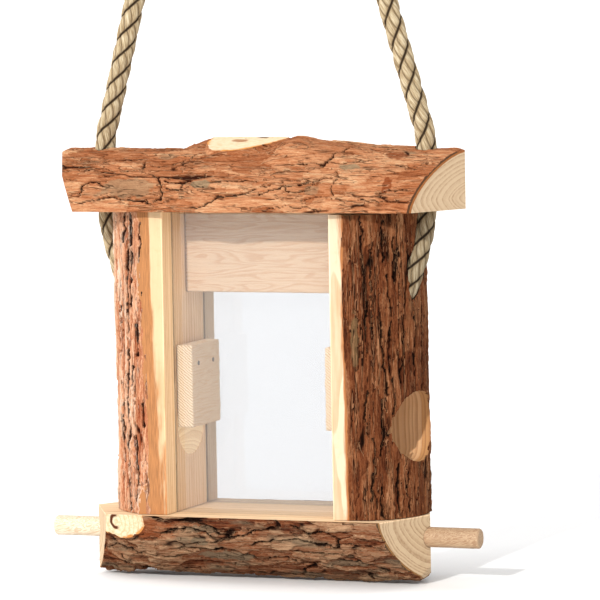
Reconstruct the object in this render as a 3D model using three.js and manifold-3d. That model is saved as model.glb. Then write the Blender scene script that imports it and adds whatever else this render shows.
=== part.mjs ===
// Rustic hanging bird feeder. Four slabs of round log carry it: a roof, a base and two posts.
// Seed fills the space between two clear panes, and birds reach it through a round port in each post.
// Units are millimetres, +Z is up. The feeder is laid out from the centre of the base's flat top,
// and one group then moves it so that the origin is the point where a hook carries the rope.
import * as THREE from "three";
import { mergeVertices } from "three/addons/utils/BufferGeometryUtils.js";
import Module from "manifold-3d";

const wasm = await Module();
wasm.setup();

// ---- driving dimensions ----
const GAP = 0.3; // clearance between pieces that touch
const INNER_HALF = 56; // centre to each post's flat inner face
const ROOF_UNDERSIDE = 192; // height of the roof's flat face above the base's flat face

const post = { radius: 43.2, pithOutboard: 2.3, halfDepth: 42.9, topLeft: 191.6, topRight: 190.4 };
const roof = { halfDepth: 51, thickness: 38.5, front: [-120, 110.5], apex: [-142, 131.6] };
const undercut = { x: [8.4, 0], top: 25.5, turn: 0.37 }; // from the roof's left tip, below this height
const base = { halfDepth: 49.5, thickness: 42.5, front: [-94.5, 87.3], apex: [-121.8, 105] };
const knot = { x: -5, halfLength: 66, halfWidth: 34, height: 20.5, rise: 26 }; // branch collar on the roof
const port = { radius: 22.2, height: 56.5, yLeft: 0, yRight: -7.5 };
const pane = { front: 26.4, thickness: 2.4, grooveDepth: 4.5, bottom: 0.4, top: 189.5 };
const tie = { bottom: 138.5, top: 190.2, thickness: 11, offset: 0.1 };
const baffle = { thickness: 11.4, bottom: 53.5, top: 106.5 };
const perch = { radius: 6.35, height: -14.2, socket: 30, chamfer: 1.4, tips: [-151.5, 138.4] };
const rope = { radius: 6.5, holeRadius: 7.1, sides: 10, joinHeight: 212 };
const ropeHole = { left: -111.5, right: 106.2 }; // the roof's two rope holes
const loop = { x: -8, radius: 27, slope: 0.266 }; // top of the rope: bend and lean of its two legs

const ARC_STEPS = 28;
const HOLE_SIDES = 40;
const SECTION_STEPS = 20;
const X_AXIS = new THREE.Vector3(1, 0, 0);
const Y_AXIS = new THREE.Vector3(0, 1, 0);
const Z_AXIS = new THREE.Vector3(0, 0, 1);

// ---- materials ----
const bark = new THREE.MeshStandardMaterial({ color: 0xa5714f, roughness: 0.95, metalness: 0 });
const darkBark = new THREE.MeshStandardMaterial({ color: 0x7b5138, roughness: 0.95, metalness: 0 });
const greyBark = new THREE.MeshStandardMaterial({ color: 0x857060, roughness: 0.95, metalness: 0 });
const sawnWood = new THREE.MeshStandardMaterial({ color: 0xe6cfa2, roughness: 0.8, metalness: 0 });
const dowelWood = new THREE.MeshStandardMaterial({ color: 0xdfba8c, roughness: 0.7, metalness: 0 });
const clear = new THREE.MeshStandardMaterial({
  color: 0xeef4f6,
  roughness: 0.05,
  metalness: 0,
  transparent: true,
  opacity: 0.35,
});
const hemp = new THREE.MeshStandardMaterial({ color: 0xc6b894, roughness: 0.95, metalness: 0 });
const zinc = new THREE.MeshStandardMaterial({ color: 0xa9abad, roughness: 0.4, metalness: 0.9 });

// ---- geometry helpers ----

// A closed mesh as a solid that can be joined and cut.
function solidOf(geometry) {
  const bare = geometry.clone();
  bare.deleteAttribute("normal");
  bare.deleteAttribute("uv");
  const merged = mergeVertices(bare, 1e-3);
  const vertProperties = merged.attributes.position.array;
  const triVerts = new Uint32Array(merged.index.array);
  return new wasm.Manifold(new wasm.Mesh({ numProp: 3, vertProperties, triVerts }));
}

// A solid back as a geometry, with flat shading normals.
function geometryOf(solid) {
  const mesh = solid.getMesh();
  const geometry = new THREE.BufferGeometry();
  geometry.setAttribute("position", new THREE.BufferAttribute(mesh.vertProperties, 3));
  geometry.setIndex(new THREE.BufferAttribute(mesh.triVerts, 1));
  geometry.computeVertexNormals();
  return geometry;
}

function cut(solid, ...tools) {
  return tools.reduce((left, tool) => left.subtract(tool), solid);
}

// A prism of an outline in the XY plane, from one height to another.
function prism(shape, bottom, top) {
  const geometry = new THREE.ExtrudeGeometry(shape, {
    depth: top - bottom,
    bevelEnabled: false,
    curveSegments: ARC_STEPS,
  });
  return geometry.translate(0, 0, bottom);
}

// A bar along X whose cross-section is an outline drawn with Y across and Z up.
function barAlongX(shape, from, to) {
  const turn = new THREE.Matrix4().makeBasis(Y_AXIS, Z_AXIS, X_AXIS);
  return prism(shape, from, to).applyMatrix4(turn);
}

function box(low, high) {
  const size = high.map((value, i) => value - low[i]);
  const centre = high.map((value, i) => (value + low[i]) / 2);
  return new THREE.BoxGeometry(...size).translate(...centre);
}

// A round bar between two points.
function rod(radius, from, to, sides = HOLE_SIDES) {
  const start = new THREE.Vector3(...from);
  const run = new THREE.Vector3(...to).sub(start);
  const geometry = new THREE.CylinderGeometry(radius, radius, run.length(), sides);
  const turn = new THREE.Quaternion().setFromUnitVectors(Y_AXIS, run.clone().normalize());
  return geometry.applyQuaternion(turn).translate(...start.addScaledVector(run, 0.5).toArray());
}

// A turned piece: a profile of [radius, distance] pairs spun about the line from a point along a direction.
function turned(profile, from, direction, sides = 16) {
  const points = profile.map(([radius, along]) => new THREE.Vector2(radius, along));
  const turn = new THREE.Quaternion().setFromUnitVectors(Y_AXIS, direction.clone().normalize());
  return new THREE.LatheGeometry(points, sides).applyQuaternion(turn).translate(...from);
}

const feeder = new THREE.Group();

function add(name, geometry, material) {
  const mesh = new THREE.Mesh(geometry, material.clone());
  mesh.name = name;
  feeder.add(mesh);
  return mesh;
}

// ---- log slabs ----

// Cross-section of a slab sawn from a log: a flat face at height 0 and bark on the other side,
// which is a little more pointed than a round.
function slabSection(halfDepth, thickness, barkUp) {
  const side = [];
  for (let i = 0; i <= SECTION_STEPS; i++) {
    const rise = Math.sin((Math.PI / 2) * (i / SECTION_STEPS));
    const across = halfDepth * (1 - rise ** 1.5) ** 0.7;
    side.push(new THREE.Vector2(across, (barkUp ? 1 : -1) * rise * thickness));
  }
  const otherSide = side.slice(0, -1).map(({ x, y }) => new THREE.Vector2(-x, y));
  return new THREE.Shape([...side, ...otherSide.reverse()]);
}

// Outline of a slab from above: each end is sawn to a blunt point on the centre line.
function pointedPlan({ front, apex, halfDepth }) {
  const side = halfDepth + 5;
  const run = side / halfDepth;
  const shoulder = apex.map((tip, i) => tip + (front[i] - tip) * run);
  return new THREE.Shape([
    new THREE.Vector2(shoulder[0], -side),
    new THREE.Vector2(shoulder[1], -side),
    new THREE.Vector2(apex[1], 0),
    new THREE.Vector2(shoulder[1], side),
    new THREE.Vector2(shoulder[0], side),
    new THREE.Vector2(apex[0], 0),
  ]);
}

function pointedSlab(slab, barkUp) {
  const section = slabSection(slab.halfDepth, slab.thickness, barkUp);
  const bar = solidOf(barAlongX(section, slab.apex[0] - 5, slab.apex[1] + 5));
  const plan = solidOf(prism(pointedPlan(slab), -slab.thickness - 5, slab.thickness + 5));
  return bar.intersect(plan);
}

// ---- roof ----

// The roof's left end slopes in under itself: the space past a sawn plane, as a wedge.
function leftUndercut() {
  const [bottomX, topX] = undercut.x;
  const wedge = new THREE.Shape([
    new THREE.Vector2(topX - 20, -5),
    new THREE.Vector2(bottomX + ((topX - bottomX) * -5) / undercut.top, -5),
    new THREE.Vector2(topX, undercut.top),
    new THREE.Vector2(topX - 20, undercut.top),
  ]);
  const bar = prism(wedge, -80, 80).rotateX(Math.PI / 2);
  return solidOf(bar.rotateZ(undercut.turn).translate(roof.apex[0], 0, 0));
}

function roofLog() {
  const collar = new THREE.SphereGeometry(1, 36, 18)
    .rotateX(Math.PI / 2)
    .scale(knot.halfLength, knot.halfWidth, knot.height)
    .translate(knot.x, 0, knot.rise);
  let slab = pointedSlab(roof, true).add(solidOf(collar));
  slab = cut(slab, solidOf(box([-200, -100, -60], [200, 100, 0])), leftUndercut());
  for (const x of [ropeHole.left, ropeHole.right])
    slab = cut(slab, solidOf(rod(rope.holeRadius, [x, 0, -10], [x, 0, roof.thickness + 10])));
  return geometryOf(slab).translate(0, 0, ROOF_UNDERSIDE);
}
add("roof_log", roofLog(), bark);

// ---- fasteners ----
const screw = { shank: 2.1, head: 4.2, headDepth: 3.2, length: 60, bottom: -34 };
const nail = { shank: 1.4, head: 2.8, headDepth: 1.2, length: 55, outer: 92 };
const brad = { shank: 0.9, head: 1.5, headDepth: 0.8, length: 24 };
const screwPlaces = [-14, 14]; // along Y, two screws under each post
const screwX = INNER_HALF + 20;
const nailHeights = [163, 181];
const bradPlaces = [-12.5, 11.7]; // along Y, on each baffle
const bradHeight = 94;

// Profile of a fastener with a flat head at distance 0 and a pointed tip.
function fastenerProfile({ shank, head, headDepth, length }) {
  return [
    [0, 0],
    [head, 0],
    [head, headDepth * 0.35],
    [shank, headDepth],
    [shank, length - 3 * shank],
    [0, length],
  ];
}

// The hole that a fastener sits in, with clearance all round, open past its head.
function fastenerHole(kind, from, direction, openBehind) {
  const { shank, head, headDepth, length } = kind;
  const profile = [
    [0, -openBehind],
    [head + GAP, -openBehind],
    [head + GAP, headDepth * 0.35],
    [shank + GAP, headDepth + GAP],
    [shank + GAP, length + GAP],
    [0, length + GAP],
  ];
  return solidOf(turned(profile, from, direction, 20));
}

// ---- base ----
function baseLog() {
  let slab = pointedSlab(base, false);
  for (const side of [-1, 1]) {
    const tip = side < 0 ? base.apex[0] : base.apex[1];
    const inner = tip - side * (perch.socket + GAP);
    const outer = tip + side * 10;
    const bore = rod(perch.radius + GAP, [inner, 0, perch.height], [outer, 0, perch.height]);
    slab = cut(slab, solidOf(bore));
    for (const y of screwPlaces)
      slab = cut(slab, fastenerHole(screw, [side * screwX, y, screw.bottom], Z_AXIS, 20));
  }
  return geometryOf(slab);
}
add("base_log", baseLog(), greyBark);

// ---- posts ----

// Plan of a post on the +X side: flat inner face, trimmed edges and the round bark side.
function postPlan() {
  const { radius, pithOutboard, halfDepth } = post;
  const pith = INNER_HALF + pithOutboard;
  const edge = Math.asin(halfDepth / radius);
  const shape = new THREE.Shape();
  shape.moveTo(INNER_HALF, halfDepth);
  shape.lineTo(INNER_HALF, -halfDepth);
  shape.absarc(pith, 0, radius, -edge, edge, false);
  shape.closePath();
  return shape;
}

// The rope's lower ends: from inside the roof down beside each post and into it.
// Each place is counted outward from the roof's hole, then along Y, and then up.
const ropeEntries = {
  left: [
    [0, 0, 212],
    [0, 0, 203],
    [-0.4, 0, 194],
    [-1.4, 0, 184],
    [-3.2, 0, 174],
    [-5.8, 0, 164],
    [-9, 0, 154],
    [-12.8, 0, 144.5],
    [-16.8, 0, 135.5],
    [-20.6, 0, 127.5],
    [-24.5, 0, 120],
  ],
  right: [
    [0, 0, 212],
    [0, 0, 203],
    [-0.1, -0.2, 194],
    [-0.8, -1.5, 184],
    [-2, -3.6, 174],
    [-3.9, -6, 164],
    [-6.4, -8.2, 154],
    [-9.6, -10, 144.5],
    [-13.4, -11.2, 135.5],
    [-17.6, -11.8, 127.5],
    [-22, -12, 120],
  ],
};

// A smooth curve through points.
function curveOf(points) {
  const vectors = points.map((point) => new THREE.Vector3(...point));
  return new THREE.CatmullRomCurve3(vectors, false, "centripetal");
}

// A round bar along a curve.
function tube(curve, radius, steps, sides = rope.sides) {
  const section = new THREE.Shape();
  for (let i = 0; i < sides; i++) {
    const angle = (2 * Math.PI * i) / sides;
    const x = radius * Math.cos(angle);
    const y = radius * Math.sin(angle);
    if (i === 0) section.moveTo(x, y);
    else section.lineTo(x, y);
  }
  section.closePath();
  return new THREE.ExtrudeGeometry(section, { steps, bevelEnabled: false, extrudePath: curve });
}

// Route of the rope's lower end on one side. A post is built on the +X side, so mirrored says to build it there.
function lowerRoute(label, mirrored = false) {
  const side = label === "left" && !mirrored ? -1 : 1;
  const holeX = side * Math.abs(ropeHole[label]);
  return ropeEntries[label].map(([outward, y, height]) => [holeX + side * outward, y, height]);
}

// The bore that takes the rope into a post: the rope's own path with clearance, and a little deeper.
function ropeBore(label) {
  const route = lowerRoute(label, true).slice(1);
  const [before, last] = route.slice(-2);
  const extra = last.map((value, i) => value + (value - before[i]) * 0.12);
  const [first] = route;
  const path = curveOf([[first[0], first[1], first[2] + 10], ...route, extra]);
  return solidOf(tube(path, rope.holeRadius, 22, 14));
}

function postSolid(top, label, portY) {
  let log = solidOf(prism(postPlan(), GAP, top));
  for (const side of [-1, 1]) {
    const outer = side * (pane.front + GAP);
    const inner = side * (pane.front - pane.thickness - GAP);
    const low = [INNER_HALF - 5, Math.min(outer, inner), -5];
    const high = [INNER_HALF + pane.grooveDepth + GAP, Math.max(outer, inner), top + 5];
    log = cut(log, solidOf(box(low, high)));
  }
  const bore = rod(port.radius, [INNER_HALF - 10, portY, port.height], [INNER_HALF + 60, portY, port.height], 64);
  log = cut(log, solidOf(bore), ropeBore(label));
  for (const y of screwPlaces)
    log = cut(log, fastenerHole(screw, [screwX, y, screw.bottom], Z_AXIS, 0));
  for (const z of nailHeights)
    log = cut(log, fastenerHole(nail, [nail.outer, 0, z], X_AXIS.clone().negate(), 30));
  for (const y of bradPlaces)
    log = cut(log, fastenerHole(brad, [INNER_HALF - baffle.thickness, y, bradHeight], X_AXIS, 0));
  return log;
}

// The left post is built on the +X side like the right one, and then mirrored.
function mirrored(solid) {
  const geometry = geometryOf(solid).scale(-1, 1, 1);
  const index = geometry.index.array;
  for (let i = 0; i < index.length; i += 3) [index[i + 1], index[i + 2]] = [index[i + 2], index[i + 1]];
  geometry.computeVertexNormals();
  return geometry;
}
add("post_left", mirrored(postSolid(post.topLeft, "left", port.yLeft)), bark);
add("post_right", geometryOf(postSolid(post.topRight, "right", port.yRight)), darkBark);

// ---- clear panes, slid down the grooves in the posts ----
function paneGeometry(side) {
  const halfWidth = INNER_HALF + pane.grooveDepth;
  const outer = side * pane.front;
  const inner = side * (pane.front - pane.thickness);
  const low = [-halfWidth, Math.min(outer, inner), pane.bottom];
  const high = [halfWidth, Math.max(outer, inner), pane.top];
  return box(low, high);
}
add("front_pane", paneGeometry(-1), clear);
add("rear_pane", paneGeometry(1), clear);

// ---- tie board across the top, nailed between the posts ----
function tieBoard() {
  const halfWidth = INNER_HALF - GAP;
  const half = tie.thickness / 2;
  let board = solidOf(
    box([-halfWidth, tie.offset - half, tie.bottom], [halfWidth, tie.offset + half, tie.top]),
  );
  for (const side of [-1, 1])
    for (const z of nailHeights) {
      const inward = X_AXIS.clone().multiplyScalar(-side);
      board = cut(board, fastenerHole(nail, [side * nail.outer, 0, z], inward, 0));
    }
  return geometryOf(board);
}
add("tie_board", tieBoard(), sawnWood);

// ---- baffles: blocks on the posts' inner faces that hold the seed back from the ports ----
function baffleBlock(side) {
  const halfDepth = pane.front - pane.thickness - GAP;
  const near = side * (INNER_HALF - GAP);
  const far = side * (INNER_HALF - baffle.thickness);
  const low = [Math.min(near, far), -halfDepth, baffle.bottom];
  const high = [Math.max(near, far), halfDepth, baffle.top];
  let block = solidOf(box(low, high));
  const outward = X_AXIS.clone().multiplyScalar(side);
  for (const y of bradPlaces) block = cut(block, fastenerHole(brad, [far, y, bradHeight], outward, 3));
  return geometryOf(block);
}
add("baffle_left", baffleBlock(-1), sawnWood);
add("baffle_right", baffleBlock(1), sawnWood);

// ---- perches: dowels glued into the base's two ends ----
function perchDowel(side) {
  const root = (side < 0 ? base.apex[0] : base.apex[1]) - side * perch.socket;
  const length = Math.abs((side < 0 ? perch.tips[0] : perch.tips[1]) - root);
  const profile = [
    [0, 0],
    [perch.radius, 0],
    [perch.radius, length - perch.chamfer],
    [perch.radius - perch.chamfer, length],
    [0, length],
  ];
  const outward = X_AXIS.clone().multiplyScalar(side);
  return turned(profile, [root, 0, perch.height], outward, 32);
}
add("perch_left", perchDowel(-1), dowelWood);
add("perch_right", perchDowel(1), dowelWood);

// ---- screws, nails and brads ----
for (const [label, side] of [["left", -1], ["right", 1]]) {
  const inward = X_AXIS.clone().multiplyScalar(-side);
  const outward = X_AXIS.clone().multiplyScalar(side);
  screwPlaces.forEach((y, i) => {
    const screwBody = turned(fastenerProfile(screw), [side * screwX, y, screw.bottom], Z_AXIS);
    add(`post_screw_${label}_${i + 1}`, screwBody, zinc);
  });
  nailHeights.forEach((z, i) => {
    const nailBody = turned(fastenerProfile(nail), [side * nail.outer, 0, z], inward, 12);
    add(`tie_nail_${label}_${i + 1}`, nailBody, zinc);
  });
  bradPlaces.forEach((y, i) => {
    const head = [side * (INNER_HALF - baffle.thickness), y, bradHeight];
    add(`baffle_brad_${label}_${i + 1}`, turned(fastenerProfile(brad), head, outward, 10), zinc);
  });
}

// ---- rope ----

// Route of the rope above the roof: up through the left hole, over the hook and down to the right hole.
function upperRoute() {
  const lean = Math.atan(loop.slope);
  const risenBy = (holeX) => Math.abs(holeX - loop.x) / loop.slope;
  const crossing = ROOF_UNDERSIDE + roof.thickness + (risenBy(ropeHole.left) + risenBy(ropeHole.right)) / 2;
  const centre = crossing - loop.radius / Math.sin(lean);
  const leg = (holeX) => {
    const side = Math.sign(holeX);
    const touch = [loop.x + side * loop.radius * Math.cos(lean), centre + loop.radius * Math.sin(lean)];
    const start = [holeX - side * 3, ROOF_UNDERSIDE + roof.thickness + 17];
    const run = [0, 0.2, 0.4, 0.6, 0.8, 1];
    const straight = run.map((t) => [
      start[0] + (touch[0] - start[0]) * t,
      0,
      start[1] + (touch[1] - start[1]) * t,
    ]);
    const foot = [
      [holeX, 0, rope.joinHeight + GAP],
      [holeX + side * 0.1, 0, 222],
      [holeX + side * 0.1, 0, 231],
      [holeX - side * 0.9, 0, 240],
    ];
    return [...foot, ...straight];
  };
  const arc = [];
  for (let i = 1; i < 8; i++) {
    const angle = Math.PI - lean - ((Math.PI - 2 * lean) * i) / 8;
    arc.push([loop.x + loop.radius * Math.cos(angle), 0, centre + loop.radius * Math.sin(angle)]);
  }
  const route = [...leg(ropeHole.left), ...arc, ...leg(ropeHole.right).reverse()];
  return { route, top: centre + loop.radius };
}

const upper = upperRoute();
add("rope_upper", tube(curveOf(upper.route), rope.radius, 64), hemp);
const leftEnd = curveOf(lowerRoute("left"));
const rightEnd = curveOf(lowerRoute("right"));
add("rope_lower_left", tube(leftEnd, rope.radius, 8), hemp);
add("rope_lower_right", tube(rightEnd, rope.radius, 8), hemp);

// The origin is under the rope at the top of its loop, where the hook carries it.
feeder.position.set(-loop.x, 0, -(upper.top - rope.radius));

const part = new THREE.Group();
part.add(feeder);

export default part;
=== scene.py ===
"""Looks of the rustic hanging bird feeder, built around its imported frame.

Shapes are worked out in millimetres from the centre of the base's flat top, as the solids are,
and to_frame() turns them into metres in the part's own frame.
"""

import itertools
import math

import bpy
import numpy as np
from mathutils import Matrix, Vector


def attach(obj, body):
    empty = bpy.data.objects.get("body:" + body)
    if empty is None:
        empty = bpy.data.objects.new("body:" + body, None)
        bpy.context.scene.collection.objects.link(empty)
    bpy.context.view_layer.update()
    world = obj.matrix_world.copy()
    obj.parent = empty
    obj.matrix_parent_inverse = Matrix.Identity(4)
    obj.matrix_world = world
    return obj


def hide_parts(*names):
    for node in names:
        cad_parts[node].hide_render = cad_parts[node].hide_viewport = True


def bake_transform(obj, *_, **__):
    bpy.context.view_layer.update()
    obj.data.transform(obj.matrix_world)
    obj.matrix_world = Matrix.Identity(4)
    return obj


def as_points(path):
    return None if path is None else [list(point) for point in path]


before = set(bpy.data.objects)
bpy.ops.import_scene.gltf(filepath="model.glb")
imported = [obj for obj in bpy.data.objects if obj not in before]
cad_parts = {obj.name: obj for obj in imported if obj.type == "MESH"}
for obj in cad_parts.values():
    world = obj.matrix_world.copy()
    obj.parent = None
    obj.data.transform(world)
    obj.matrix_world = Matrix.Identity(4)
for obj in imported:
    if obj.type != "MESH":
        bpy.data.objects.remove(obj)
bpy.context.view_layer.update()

DATUM = np.array([8.0, 0.0, -555.1771])  # the base's flat top, from the part's origin
MM = 0.001

# ---- dimensions shared with the solids ----
INNER_HALF = 56.0  # from the middle to a post's flat face
ROOF_UNDERSIDE, ROOF_TOP = 192.0, 230.5
ROOF_TIPS, BASE_TIPS = (-141.8, 131.6), (-121.8, 105)
ROPE_RADIUS, ROPE_BORE = 6.5, 7.0
ROPE_HOLES = (-111.5, 106.2)
GROOVES, GROOVE_WIDTH = (-26.7, 23.7), 3.0  # the front edge of each pane's groove
PORT_HEIGHT, PORT_RADIUS = 56.5, 22.2
PORT_Y = {-1: 0.0, 1: -7.5}
PORT_RIM = 27.0  # how far from a port's middle its wall has painted light and shade
PERCH_HEIGHT, PERCH_RADIUS, PERCH_BORE = -14.2, 6.35, 6.75


def to_frame(points):
    return (np.asarray(points, float) + DATUM) * MM


# ---- camera ----
CAMERA_YAW, CAMERA_PITCH, CAMERA_ROLL = (math.radians(a) for a in (21.261, 4.525, 1.019))
CAMERA_ASIDE, CAMERA_ABOVE, CAMERA_DISTANCE = 18.708, 132.812, 2838.4
FOCAL_LENGTH, SENSOR = 268.196, 36.0


def make_camera():
    flat = math.cos(CAMERA_PITCH)
    look = Vector((-math.sin(CAMERA_YAW) * flat, math.cos(CAMERA_YAW) * flat, -math.sin(CAMERA_PITCH)))
    right = Vector((math.cos(CAMERA_YAW), math.sin(CAMERA_YAW), 0))
    up = right.cross(look)
    place = right * CAMERA_ASIDE + up * CAMERA_ABOVE - look * CAMERA_DISTANCE
    x_axis = right * math.cos(CAMERA_ROLL) - up * math.sin(CAMERA_ROLL)
    y_axis = right * math.sin(CAMERA_ROLL) + up * math.cos(CAMERA_ROLL)
    turn = Matrix((x_axis, y_axis, -look)).transposed()
    data = bpy.data.cameras.new("camera")
    data.sensor_width, data.lens = SENSOR, FOCAL_LENGTH
    data.clip_start, data.clip_end = 0.05, 200
    camera = bpy.data.objects.new("camera", data)
    camera.matrix_world = Matrix.Translation(to_frame(place)) @ turn.to_4x4()
    bpy.context.scene.collection.objects.link(camera)
    bpy.context.scene.camera = camera


make_camera()


# ---- repeatable noise ----
def lattice(cell, seed):
    """A number from 0 to 1 that belongs to each whole-number place."""
    x, y, z = (cell[..., i].astype(np.uint32) for i in range(3))
    start = np.uint32((seed * 3266489917) & 0xFFFFFFFF)
    h = x * np.uint32(374761393) + y * np.uint32(668265263) + z * np.uint32(2246822519) + start
    h = (h ^ (h >> np.uint32(15))) * np.uint32(2246822519)
    h = (h ^ (h >> np.uint32(13))) * np.uint32(3266489917)
    return ((h ^ (h >> np.uint32(16))) & np.uint32(0xFFFFFF)) / 0xFFFFFF


def smooth_noise(places, seed):
    """Smooth noise from -1 to 1 at an array of places."""
    low = np.floor(places)
    part = places - low
    part = part**3 * (part * (part * 6 - 15) + 10)
    low = low.astype(np.int64)
    total = np.zeros(places.shape[:-1])
    for corner in itertools.product((0, 1), repeat=3):
        weight = np.prod(np.where(np.array(corner) == 1, part, 1 - part), axis=-1)
        total += weight * lattice(low + np.array(corner), seed)
    return total * 2 - 1


def cells(places, seed):
    """How far each place is inside its own cell, from 0 at a border, and a number of that cell's own."""
    low = np.floor(places).astype(np.int64)
    first = np.full(places.shape[:-1], 1e9)
    second = first.copy()
    own = np.zeros_like(first)
    for offset in itertools.product((-1, 0, 1), repeat=3):
        cell = low + np.array(offset)
        seedling = np.stack([lattice(cell, seed + k) for k in range(3)], axis=-1)
        away = np.linalg.norm(places - cell - seedling, axis=-1)
        nearer = away < first
        second = np.where(nearer, first, np.minimum(second, away))
        own = np.where(nearer, lattice(cell, seed + 7), own)
        first = np.where(nearer, away, first)
    return second - first, own


def smoothstep(low, high, value):
    t = np.clip((value - low) / (high - low), 0, 1)
    return t * t * (3 - 2 * t)


# ---- meshes ----
BARK, SAWN, KNOT = range(3)  # a log's material slots; a cutter's faces carry the slot of the cut
BEYOND = 700.0  # larger than any piece
LOG_STEP, BOARD_STEP = 0.8, 1.6  # between the points of a surface


def new_object(name, points, faces, kind=None, smooth=True):
    """An object from points in millimetres, with all its faces in one material slot."""
    mesh = bpy.data.meshes.new(name)
    mesh.from_pydata(np.asarray(points).tolist(), [], faces)
    if kind is not None:
        mesh.polygons.foreach_set("material_index", np.full(len(faces), kind, np.int32))
    mesh.polygons.foreach_set("use_smooth", [smooth] * len(mesh.polygons))
    mesh.update()
    obj = bpy.data.objects.new(name, mesh)
    bpy.context.scene.collection.objects.link(obj)
    return obj


def points_of(obj):
    flat = np.zeros(len(obj.data.vertices) * 3)
    obj.data.vertices.foreach_get("co", flat)
    return flat.reshape(-1, 3)


def set_points(obj, points):
    obj.data.vertices.foreach_set("co", np.asarray(points, float).ravel())
    obj.data.update()


def place_in_frame(obj):
    set_points(obj, to_frame(points_of(obj)))


def store(obj, name, values):
    """Keeps a number or a vector at each vertex, for the materials to read."""
    values = np.asarray(values, np.float32)
    kind, field = ("FLOAT", "value") if values.ndim == 1 else ("FLOAT_VECTOR", "vector")
    obj.data.attributes.new(name, kind, "POINT").data.foreach_set(field, values.ravel())


def tube_faces(rings, around):
    """Quads between closed rings of points."""
    faces = []
    for i, j in itertools.product(range(rings - 1), range(around)):
        k = (j + 1) % around
        faces.append((i * around + j, i * around + k, (i + 1) * around + k, (i + 1) * around + j))
    return faces


def capped_tube(rings):
    """Points and faces of a tube with a fan over each end, from an array of rings of places."""
    count, around = rings.shape[:2]
    points = np.vstack([rings.reshape(-1, 3), rings[0].mean(0), rings[-1].mean(0)])
    faces = tube_faces(count, around)
    first, last = count * around, count * around + 1
    for j in range(around):
        k = (j + 1) % around
        faces.append((first, k, j))
        faces.append((last, (count - 1) * around + j, (count - 1) * around + k))
    return points, faces


def cutter(points, faces, kind=SAWN):
    return new_object("cutter", points, faces, kind, smooth=False)


def box_cutter(low, high):
    corners = list(itertools.product(*zip(low, high)))
    faces = [(0, 1, 3, 2), (4, 6, 7, 5), (0, 4, 5, 1), (2, 3, 7, 6), (0, 2, 6, 4), (1, 5, 7, 3)]
    return cutter(corners, faces)


def beyond(place, direction):
    """A block that fills the space past a plane."""
    turn = np.array(Vector(direction).to_track_quat("Z", "Y").to_matrix())
    block = box_cutter((-BEYOND, -BEYOND, 0), (BEYOND, BEYOND, BEYOND))
    set_points(block, points_of(block) @ turn.T + np.array(place))
    return block


def facets(tip, front_x, rear_x, half_depth):
    """The spaces past the upright sawn faces from a log's pointed tip to its two shoulders."""
    for x, y in ((front_x, -half_depth), (rear_x, half_depth)):
        outward = np.array([y, tip - x, 0.0])
        yield beyond((tip, 0, 0), -outward if outward[0] * tip < 0 else outward)


def tube_rings(path, radius, around):
    """Rings round a path that runs near the XZ plane."""
    path = np.asarray(path, float)
    along = np.gradient(path, axis=0)
    along /= np.linalg.norm(along, axis=1, keepdims=True)
    across = np.cross(along, [0.0, 1.0, 0.0])
    across /= np.linalg.norm(across, axis=1, keepdims=True)
    third = np.cross(across, along)
    angle = np.linspace(0, 2 * np.pi, around, endpoint=False)
    side = np.cos(angle)[None, :, None] * third[:, None] + np.sin(angle)[None, :, None] * across[:, None]
    return path[:, None] + side * np.broadcast_to(radius, side.shape[:2])[..., None]


def bore_cutter(path, radius, around=40):
    return cutter(*capped_tube(tube_rings(path, radius, around)))


def prism_cutter(first, last):
    """The space between two outlines with a sawn-off branch at the bottom of it."""
    count = len(first)
    caps = [tuple(range(count))[::-1], tuple(range(count, 2 * count))]
    return cutter([*first, *last], tube_faces(2, count) + caps, KNOT)


def cut_away(target, cutters):
    """Takes the cutters out of a solid, exactly, and deletes them."""
    for tool in cutters:
        step = target.modifiers.new("cut", "BOOLEAN")
        step.object, step.operation, step.solver = tool, "DIFFERENCE", "MANIFOLD"
        step.material_mode = "INDEX"
    depsgraph = bpy.context.evaluated_depsgraph_get()
    mesh = bpy.data.meshes.new_from_object(target.evaluated_get(depsgraph), depsgraph=depsgraph)
    target.modifiers.clear()
    target.data = mesh
    for tool in cutters:
        bpy.data.objects.remove(tool)


# ---- material building ----
ALBEDO = 0.72  # share of a surface's seen colour that it keeps for itself, under this much light


def linear(colour):
    """A colour as it looks in this light, from 0 to 255, as the renderer's own numbers."""
    seen = [value / 255 for value in colour]
    return (*[(v / 12.92 if v <= 0.04045 else ((v + 0.055) / 1.055) ** 2.4) * ALBEDO for v in seen], 1.0)


class Signal:
    """What a shader's node gives out. Arithmetic on it adds Math nodes."""

    def __init__(self, shader, socket):
        self.shader, self.socket = shader, socket

    def math(self, operation, other=None):
        return self.shader.node("ShaderNodeMath", {0: self, 1: other}, operation=operation)

    def __rsub__(self, other):
        return self.shader.node("ShaderNodeMath", {0: other, 1: self}, operation="SUBTRACT")


ARITHMETIC = dict(add="ADD", sub="SUBTRACT", mul="MULTIPLY", truediv="DIVIDE", pow="POWER", abs="ABSOLUTE")
for sign, operation in ARITHMETIC.items():
    setattr(Signal, f"__{sign}__", lambda self, other=None, kind=operation: self.math(kind, other))


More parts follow.
